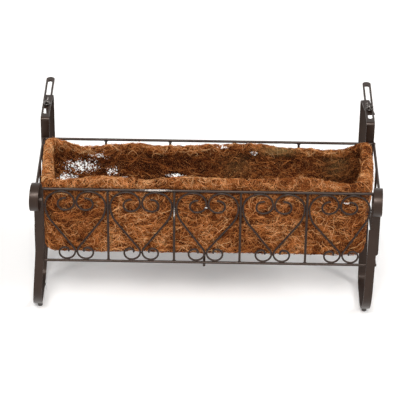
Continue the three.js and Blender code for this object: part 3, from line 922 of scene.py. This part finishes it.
liner_low, liner_high = node_box("coco_liner")
liner_middle = (liner_low + liner_high) / 2
half_long, half_deep = (liner_high - liner_low)[:2] / 2
belly_z = liner_low[2]
mat_thickness = 10.0
plan_corner = 30.0
belly_sag = 18.8
belly_slope = belly_sag / half_deep
round_front, round_end = 18.0, 24.0

# The lip's height along X over the front wall and over the back wall.
front_lip_x = [-380, -337, -303, -253, -189, -122, -93, -56, 19, 124, 190, 224, 288, 322, 369]
front_lip_z = [12, 12, 14, 26, 19, 15, 24, 26, 23, 22, 29, 29, 17, 12, 15]
back_lip_x = [-380, -362, -343, -307, -272, -220, -160, -118, -87, -9, 79, 129, 188, 281, 321, 357, 369]
back_lip_z = [14, 8, -1, -13, -16, -7, -5, -13, -10, -5, -1.5, -2, -10.6, -15, -14.5, 10, 17]


def rumple(points, wavelength, seed, count=20):
    """Smooth chance heights of about -1 to 1: a sum of sines of one wavelength, in chance directions."""
    rng = np.random.default_rng(seed)
    ways = rng.normal(size=(3, count))
    ways *= 2 * np.pi / wavelength / np.linalg.norm(ways, axis=0)
    return np.sin(points @ ways + rng.uniform(0, 2 * np.pi, count)).sum(-1) * math.sqrt(0.5 / count)


# Columns run round the tray from the middle of the front, 4 mm apart, on a rectangle with round corners.
mat_columns = 480
outer_bottom_rows, inner_bottom_rows = 26, 24
outer_wall_rows, inner_wall_rows = 48, 46
core_long, core_deep = half_long - plan_corner, half_deep - plan_corner
corner_run = plan_corner * math.pi / 2
run_lengths = [core_long, corner_run, 2 * core_deep, corner_run, 2 * core_long, corner_run, 2 * core_deep]
run_lengths += [corner_run, core_long]
run_at = np.concatenate([[0], np.cumsum(run_lengths)])
mat_round = run_at[-1]
column_run = mat_round * np.arange(mat_columns) / mat_columns
core_x = np.interp(column_run, run_at, core_long * np.array([0, 1, 1, 1, 1, -1, -1, -1, -1, 0]))
core_y = np.interp(column_run, run_at, core_deep * np.array([-1, -1, -1, 1, 1, 1, 1, -1, -1, -1]))
facing = np.radians(np.interp(column_run, run_at, [-90, -90, 0, 0, 90, 90, 180, 180, 270, 270]))
out_x, out_y = np.cos(facing), np.sin(facing)
bottom_round = round_front + (round_end - round_front) * out_x**2


def bottom_rows(inset, rows):
    """
    From the wall to the tray's centre line: straight runs from each wall point towards the nearest point of
    that line, taken at squared steps. The height is the sagging belly plus a quarter circle near the wall.
    """
    wall_x = core_x + (plan_corner - inset) * out_x
    wall_y = core_y + (plan_corner - inset) * out_y
    goal_x = np.clip(wall_x, half_deep - half_long, half_long - half_deep)
    share = (np.linspace(0, 1, rows) ** 2)[:, None]
    x = wall_x + (goal_x - wall_x) * share
    y = wall_y * (1 - share)
    depth = np.abs((wall_x - x) * out_x + (wall_y - y) * out_y)
    radius = bottom_round - inset
    rise = np.maximum(0, 1 - depth / radius)
    z = belly_z + inset + belly_slope * np.abs(y) + radius * (1 - np.sqrt(1 - rise**2))
    return np.stack([x, y, z], axis=-1), rise


def lip_height(x, y):
    """
    The lip's top: the front wall's curve at the front and the back wall's at the back, each averaged over
    nine columns, and eased from one to the other along the ends.
    """
    share = np.clip((y + half_deep) / (2 * half_deep), 0, 1)
    share = share * share * (3 - 2 * share)
    heights = []
    for curve_x, curve_z in ((front_lip_x, front_lip_z), (back_lip_x, back_lip_z)):
        height = np.interp(x + liner_middle[0], curve_x, curve_z)
        wide = np.concatenate([height[-4:], height, height[:4]])
        heights.append(np.convolve(wide, np.ones(9) / 9, "valid"))
    return heights[0] * (1 - share) + heights[1] * share


outer_bottom, outer_rise = bottom_rows(0.0, outer_bottom_rows)
inner_bottom, inner_rise = bottom_rows(mat_thickness, inner_bottom_rows)
lip_x, lip_y = core_x + plan_corner * out_x, core_y + plan_corner * out_y
lip_ring = np.stack([lip_x, lip_y, np.zeros(mat_columns)], axis=-1)
lip_z = lip_height(lip_x, lip_y) + 1.6 * rumple(lip_ring, 34, 11) + 1.3 * rumple(lip_ring, 13, 12)
# The cut lip has fluffed up to an uneven roll, thin at the back and thickest in the front corners, and the
# front half of the left end has slumped inwards.
to_front = np.clip(0.5 - lip_y / (2 * half_deep), 0, 1)
fluff = 1 + 3 * (1 - out_y) + 11 * out_x**2 * to_front**1.5 + 6 * (2 * out_x * np.minimum(out_y, 0)) ** 2
fluff *= 1 + 0.35 * rumple(lip_ring, 45, 13)
slump = to_front * np.where(out_x < 0, 14, 5) * out_x**2
lip_radius = (mat_thickness + fluff) / 2
fluff_reach = 50.0


def wall_rows(inset, from_z, to_z, rows, swell=0.0, sag=0.0):
    """
    A wall at one inset, up between two heights without its first row. It swells inwards below its top, and
    sags inwards by a half sine of the height.
    """
    share = np.linspace(0, 1, rows + 1)[1:, None]
    z = from_z + (to_z - from_z) * share
    near_top = np.clip(1 - (to_z - z) / fluff_reach, 0, 1)
    inset = inset + swell * near_top**2 * (3 - 2 * near_top) + sag * np.sin(np.pi * share)
    corner = plan_corner - inset
    return np.stack([core_x + corner * out_x, core_y + corner * out_y, z], axis=-1)


lip_turn = np.radians(np.linspace(0, 180, 9)[1:-1])[:, None]
lip_inset = lip_radius * (1 - np.cos(lip_turn))
lip_rows = np.stack(
    [
        core_x + (plan_corner - lip_inset) * out_x,
        core_y + (plan_corner - lip_inset) * out_y,
        lip_z - lip_radius + lip_radius * np.sin(lip_turn),
    ],
    axis=-1,
)
wall_top = lip_z - lip_radius
outer_wall = wall_rows(0.0, outer_bottom[0, :, 2], wall_top, outer_wall_rows)
inner_wall = wall_rows(mat_thickness, inner_bottom[0, :, 2], wall_top, inner_wall_rows, fluff, slump)
mat_grid = np.concatenate([outer_bottom[::-1], outer_wall, lip_rows, inner_wall[::-1], inner_bottom])

# Which way each point of the mat faces, and which way is out of the tray there.
flat_out = np.stack([out_x, out_y, np.zeros(mat_columns)], axis=-1)
upward = np.array([0.0, 0.0, 1.0])


def bottom_facing(rise, sign):
    """On the bottom: out times the quarter circle's share, and down or up for the rest."""
    return sign * (flat_out * rise[..., None] - upward * np.sqrt(1 - rise[..., None] ** 2))


outer_out = np.repeat(flat_out[None], outer_wall_rows, axis=0)
inner_out = np.repeat(flat_out[None], inner_wall_rows, axis=0)
lip_out = np.repeat(flat_out[None], len(lip_rows), axis=0)
lip_facing = flat_out * np.cos(lip_turn)[..., None] + upward * np.sin(lip_turn)[..., None]
under = bottom_facing(outer_rise, 1)[::-1]
mat_facing = np.concatenate([under, outer_out, lip_facing, -inner_out, bottom_facing(inner_rise, -1)])
mat_out = np.concatenate([under, outer_out, lip_out, inner_out, bottom_facing(inner_rise, 1)])

# The mat bulges in and out by a few millimetres over some 120 mm, and is lumpy over 9 to 17 mm.
buckle = -2.2 + 1.3 * np.clip(rumple(mat_grid, 120, 21), -1, 1)
lumps = 0.8 * rumple(mat_grid, 17, 22) + 0.5 * rumple(mat_grid, 9, 23)
mat_grid = mat_grid + mat_out * buckle[..., None] + mat_facing * lumps[..., None]

# The end walls lean out above the middle of their height, the right one to its side rail.
lean_height, lean_length = 130, 70
lean_y = [-108, -60, 0, 108]
lean_share = np.clip((mat_grid[..., 2] + lean_height) / lean_height, 0, 1)
lean_share = lean_share * lean_share * (3 - 2 * lean_share)
to_end = np.clip((np.abs(mat_grid[..., 0]) - half_long + lean_length) / lean_length, 0, 1) ** 2
right_lean = np.interp(mat_grid[..., 1], lean_y, [2, 12, 16, 14])
left_lean = np.interp(mat_grid[..., 1], lean_y, [2, 4, 5, 6])
mat_grid[..., 0] += lean_share * to_end * np.where(mat_grid[..., 0] > 0, right_lean, -left_lean)
mat_grid = mat_grid + np.array([liner_middle[0], liner_middle[1], 0])

mat_rows = len(mat_grid)
mat_faces = ring_faces(mat_rows, mat_columns)


def coir_material(name, strand):
    """
    Coir: dull rust-brown fibre, drifting in tone over some 100 mm. Strands take their tone from the tint
    attribute; the mat under them is darker, as painted shade in the gaps between strands, and is drawn with
    two sets of wavy lines about 3 mm apart, coarser than the real 0.3 mm fibre so that they show. Thin places
    show painted white flecks of about 4 mm with a faint glow, standing in for light coming through; bleached
    ones are dull and pale.
    """
    material, tree, surface = new_material(name)
    place = add(tree, "ShaderNodeTexCoord").outputs["Object"]
    drift = add(tree, "ShaderNodeTexNoise", {"Vector": place, "Scale": 9.0, "Detail": 3.0})
    if strand:
        tone = add(tree, "ShaderNodeAttribute", attribute_name="tint").outputs["Fac"]
        drift_low, drift_high = -0.16, 0.16
    else:
        # The mat's tone is pulled down: painted shade in the gaps under the strands.
        drift_low, drift_high = -0.16, 0.04
        lines = []
        for turn, scale in ((0.5, 95.0), (2.2, 120.0)):
            rotation = (0.6 * turn, turn, turn)
            turned_place = add(tree, "ShaderNodeMapping", {"Vector": place, "Rotation": rotation})
            wave = add(
                tree,
                "ShaderNodeTexWave",
                {
                    "Vector": turned_place.outputs[0],
                    "Scale": scale,
                    "Distortion": 14.0,
                    "Detail": 4.0,
                    "Detail Scale": 1.4,
                    "Detail Roughness": 0.65,
                },
            )
            lines.append(wave.outputs["Fac"])
        tone = add(tree, "ShaderNodeMath", {0: lines[0], 1: lines[1]}, operation="MULTIPLY").outputs[0]
    shift = add(
        tree,
        "ShaderNodeMapRange",
        {
            "Value": drift.outputs["Fac"],
            "From Min": 0.25,
            "From Max": 0.75,
            "To Min": drift_low,
            "To Max": drift_high,
        },
    )
    shade = add(tree, "ShaderNodeMath", {0: tone, 1: shift.outputs[0]}, operation="ADD")
    ramp = add(tree, "ShaderNodeValToRGB", {"Fac": shade.outputs[0]})
    stops = [(0.0, "#2A1002"), (0.28, "#6A3413"), (0.52, "#A8602E"), (0.78, "#D88D50"), (1.0, "#F3C088")]
    for place_on_ramp, _ in stops[1:-1]:
        ramp.color_ramp.elements.new(place_on_ramp)
    for element, (place_on_ramp, tone_there) in zip(ramp.color_ramp.elements, stops):
        element.position = place_on_ramp
        element.color = linear(tone_there)
    bleach = add(tree, "ShaderNodeAttribute", attribute_name="bleach").outputs["Fac"]
    bleach_share = add(tree, "ShaderNodeMath", {0: bleach, 1: 0.55}, operation="MULTIPLY").outputs[0]
    tones = {"Factor": bleach_share, 6: ramp.outputs[0], 7: linear("#A08C5C")}
    colour = add(tree, "ShaderNodeMix", tones, data_type="RGBA").outputs[2]
    # Painted see-through: white flecks with a faint glow where the mat is thin, standing in for light coming
    # through.
    thin = add(tree, "ShaderNodeAttribute", attribute_name="thin").outputs["Fac"]
    cells = add(tree, "ShaderNodeTexNoise", {"Vector": place, "Scale": 240.0, "Detail": 2.0}).outputs["Fac"]
    holes = add(tree, "ShaderNodeMath", {0: cells, 1: thin}, operation="MULTIPLY").outputs[0]
    painted_see_through = add(tree, "ShaderNodeMapRange", {"Value": holes, "From Min": 0.5, "From Max": 0.53}).outputs[0]
    tones = {"Factor": painted_see_through, 6: colour, 7: linear("#FAF7F2")}
    colour = add(tree, "ShaderNodeMix", tones, data_type="RGBA").outputs[2]
    painted_glow = add(tree, "ShaderNodeMath", {0: painted_see_through, 1: 0.3}, operation="MULTIPLY").outputs[0]
    links = {"Base Color": colour, "Roughness": 0.8, "Specular IOR Level": 0.12}
    links.update({"Emission Color": (1, 1, 1, 1), "Emission Strength": painted_glow})
    if not strand:
        heights = {"Strength": 0.8, "Distance": 0.0012, "Height": tone}
        links["Normal"] = add(tree, "ShaderNodeBump", heights).outputs[0]
    shader = add(tree, "ShaderNodeBsdfPrincipled", links)
    tree.links.new(shader.outputs[0], surface)
    return material


coir_mat = coir_material("pressed_coir_mat", strand=False)
coir_strand = coir_material("loose_coir_strand", strand=True)

# Where the mat is thin, with painted white flecks and glow for light coming through, and where it has
# bleached: x, y, z, then reach along x and z, then how much.
back_wall_y = liner_high[1] - mat_thickness
mat_marks = {
    "thin": [
        (-303, back_wall_y, -64, 84, 42, 1.05),
        (-336, back_wall_y, -98, 46, 28, 1.1),
        (-228, back_wall_y, -76, 36, 30, 1.0),
        (-203, back_wall_y, -96, 18, 12, 1.15),
        (-262, back_wall_y, -34, 60, 22, 0.9),
        (-77, back_wall_y, -86, 42, 13, 1.05),
        (34, back_wall_y, -6, 26, 8, 1.02),
        (108, back_wall_y, -20, 20, 16, 1.0),
        (320, 3, -30, 16, 7, 1.1),
    ],
    "bleach": [
        (164, back_wall_y, -13, 42, 11, 0.9),
        (305, back_wall_y, -52, 30, 32, 0.38),
        (68, back_wall_y, -60, 34, 30, 0.25),
    ],
}
mark_depth = 25


def mark_places(mesh):
    """Each mark is a bell along x and z about its spot, on points within the mark depth of the spot's y."""
    places = vertex_places(mesh)
    for name, spots in mat_marks.items():
        value = np.zeros(len(places))
        for x, y, z, reach_x, reach_z, strength in spots:
            bell = np.exp(-(((places[:, 0] - x) / reach_x) ** 2) - ((places[:, 2] - z) / reach_z) ** 2)
            value = np.maximum(value, strength * bell * (np.abs(places[:, 1] - y) < mark_depth))
        mark = mesh.attributes.new(name, "FLOAT", "POINT")
        mark.data.foreach_set("value", value.astype(np.float32))


mat_mesh = make_mesh("coco-liner_mat", mat_grid.reshape(-1, 3), [mat_faces], weld=0.02)
mark_places(mat_mesh)
show(mat_mesh, coir_mat, "coco_liner", ["coco_liner"], sharp=180)

# ---------------------------------------------------------------------------------------------
# Loose fibres. Coir strands lie over the mat in every direction, curl with it round corners and
# lip, and a few stand off it. Each is a three-sided tapered strand with its own tone.
# ---------------------------------------------------------------------------------------------

row_length = np.linalg.norm(np.diff(mat_grid, axis=0), axis=2).mean(axis=1)
row_run = np.concatenate([[0], np.cumsum(row_length)])


def on_mat(grid, along, upwards):
    """A grid's values at places over the mat, given in mm round it and up it: four corners' weighted mean."""
    row = np.interp(upwards, row_run, np.arange(mat_rows))
    row = np.clip(row, 0, mat_rows - 1.001)
    column = (along / mat_round * mat_columns) % mat_columns
    r, c = row.astype(int), column.astype(int)
    fr, fc = (row - r)[..., None], (column - c)[..., None]
    beside = (c + 1) % mat_columns
    lower = grid[r, c] * (1 - fc) + grid[r, beside] * fc
    upper = grid[r + 1, c] * (1 - fc) + grid[r + 1, beside] * fc
    return lower * (1 - fr) + upper * fr


strand_rings, strand_sides = 7, 3
strand_middle = strand_rings // 2


def fibres(name, locks, along, upwards, seed, shade, each=3, length=(18, 46), lift=(0.2, 2.0), ends=1.2):
    """
    Strands in locks: each lock lies about a chance place, heads mostly sideways, and its heading turns
    evenly along it and sways once as a sine. Its strands lie a millimetre or so apart and share a tone,
    shifted by the shade, which is painted light and shade: lighter on the lip and on lifted strands, darker
    inside the tray. A strand's height over the mat is its lift, plus its end lift times the square of the
    distance from its middle. The thickness tapers as the root of 1 less that square.
    """
    rng = np.random.default_rng(seed)
    count = locks * each
    steps = np.linspace(-1, 1, strand_rings)

    def shared(values, spread):
        """Each lock's value repeated for its strands, with a small chance difference between them."""
        return np.repeat(values, each, axis=0) + rng.normal(0, spread, (count, 1))

    reach = shared(rng.uniform(*length, (locks, 1)) / 2, 1.5)
    heading = shared(rng.normal(0, 0.9, (locks, 1)) + rng.integers(0, 2, (locks, 1)) * np.pi, 0.07)
    curl = shared(rng.normal(0, 0.95, (locks, 1)), 0.12)
    sway = shared(rng.normal(0, 0.4, (locks, 1)), 0.05)
    phase = shared(rng.uniform(0, 6.28, (locks, 1)), 0.1)
    angle = heading + curl * steps + sway * np.sin(np.pi * steps + phase)
    middle_angle = (angle[:, 1:] + angle[:, :-1]) / 2
    stride = reach * 2 / (strand_rings - 1)
    start = np.zeros((count, 1))
    go_along = np.concatenate([start, np.cumsum(np.cos(middle_angle) * stride, axis=1)], axis=1)
    go_up = np.concatenate([start, np.cumsum(np.sin(middle_angle) * stride, axis=1)], axis=1)
    start_along = shared(rng.uniform(*along, (locks, 1)), 0.9) - go_along[:, strand_middle, None]
    start_up = shared(rng.uniform(*upwards, (locks, 1)), 0.9) - go_up[:, strand_middle, None]
    at_along, at_up = start_along + go_along, start_up + go_up
    at_up = np.clip(at_up, row_run[1], row_run[-2])
    normal = on_mat(mat_facing, at_along, at_up)
    normal /= np.linalg.norm(normal, axis=-1, keepdims=True)
    off = shared(rng.uniform(*lift, (locks, 1)), 0.3)
    off = off + ends * np.abs(rng.normal(0, 0.5, (count, 1))) * steps**2
    centre = on_mat(mat_grid, at_along, at_up) + normal * off[..., None]
    heading_3d = np.gradient(centre, axis=1)
    heading_3d /= np.linalg.norm(heading_3d, axis=-1, keepdims=True) + 1e-9
    side = np.cross(heading_3d, normal)
    side /= np.linalg.norm(side, axis=-1, keepdims=True) + 1e-9
    thick = rng.uniform(0.32, 0.66, (count, 1)) * np.sqrt(1.02 - steps**2 * 0.92)
    turn = np.radians(90 + 360 / strand_sides * np.arange(strand_sides))
    ring = side[:, :, None] * np.cos(turn)[:, None] + normal[:, :, None] * np.sin(turn)[:, None]
    points = centre[:, :, None] + thick[:, :, None, None] * ring
    walls = ring_faces(strand_rings, strand_sides)[:, other_way_round]
    rim = np.arange(strand_sides)
    caps = np.array([rim, (strand_rings - 1) * strand_sides + rim[::-1]])
    step = (np.arange(count) * strand_rings * strand_sides)[:, None, None]
    faces = [(walls + step).reshape(-1, 4), (caps + step).reshape(-1, strand_sides)]
    mesh = make_mesh(name, points.reshape(-1, 3), faces)
    tone = shared(rng.beta(1.7, 1.7, (locks, 1)), 0.07)
    tone = np.clip(tone + rng.normal(0, 0.04, (count, strand_rings)) + shade, 0, 1)
    tint = mesh.attributes.new("tint", "FLOAT", "POINT")
    tint.data.foreach_set("value", np.repeat(tone, strand_sides, axis=1).astype(np.float32).ravel())
    mark_places(mesh)
    show(mesh, coir_strand, "coco_liner", sharp=180)


# Heights up the mat, in mm from the middle of its underside, and runs round it from the middle of the front.
lip_row = outer_bottom_rows + outer_wall_rows
wall_start = row_run[outer_bottom_rows]
lip_start = row_run[lip_row - 1]
lip_end = row_run[lip_row + len(lip_rows)]
inner_wall_end = row_run[lip_row + len(lip_rows) + inner_wall_rows - 1]
front_reach = core_long + corner_run / 2
end_reach = 2 * core_deep + corner_run
back_from = front_reach + end_reach
back_to = back_from + 2 * front_reach

around, right_half, left_half = (0, mat_round), (0, mat_round / 2), (mat_round / 2, mat_round)
front, back = (-front_reach, front_reach), (back_from, back_to)
ends_and_back = (front_reach, back_to + end_reach)
ends_and_front = (back_to, back_to + mat_round - 2 * front_reach)

outer_rows, inner_rows = (wall_start - 12, lip_start), (lip_end, inner_wall_end)
over_lip = (lip_start - 6, lip_end + 10)

# The number after the seed is painted light and shade: strands inside the tray are painted darker, those on
# the lip lighter, the lip's left half more than its right, and the lifted front and stray strands lighter.
fibres("coco-fibres_front", 1700, front, outer_rows, 31, -0.02)
fibres("coco-fibres_front-top", 2600, front, outer_rows, 41, 0.06, each=1, lift=(1.4, 3.0))
fibres("coco-fibres_inside-back", 2500, back, inner_rows, 32, -0.26, each=2, length=(16, 40))
fibres("coco-fibres_inside", 1900, ends_and_front, inner_rows, 33, -0.18, each=2, length=(16, 40))
fibres("coco-fibres_lip-right", 1200, right_half, over_lip, 34, 0.05, each=2, ends=3.0)
fibres("coco-fibres_lip-left", 1200, left_half, over_lip, 39, 0.17, each=2, ends=3.0)
stray_rows = (lip_start - 10, lip_end + 15)
fibres("coco-fibres_stray", 90, around, stray_rows, 38, 0.3, each=1, lift=(1.5, 4), ends=6.0)
fibres("coco-fibres_back", 1500, ends_and_back, outer_rows, 35, -0.02)
fibres("coco-fibres_floor", 1300, around, (inner_wall_end, row_run[-2]), 36, -0.16, each=2)
fibres("coco-fibres_belly", 1300, around, (row_run[1], wall_start), 37, -0.02, each=2)
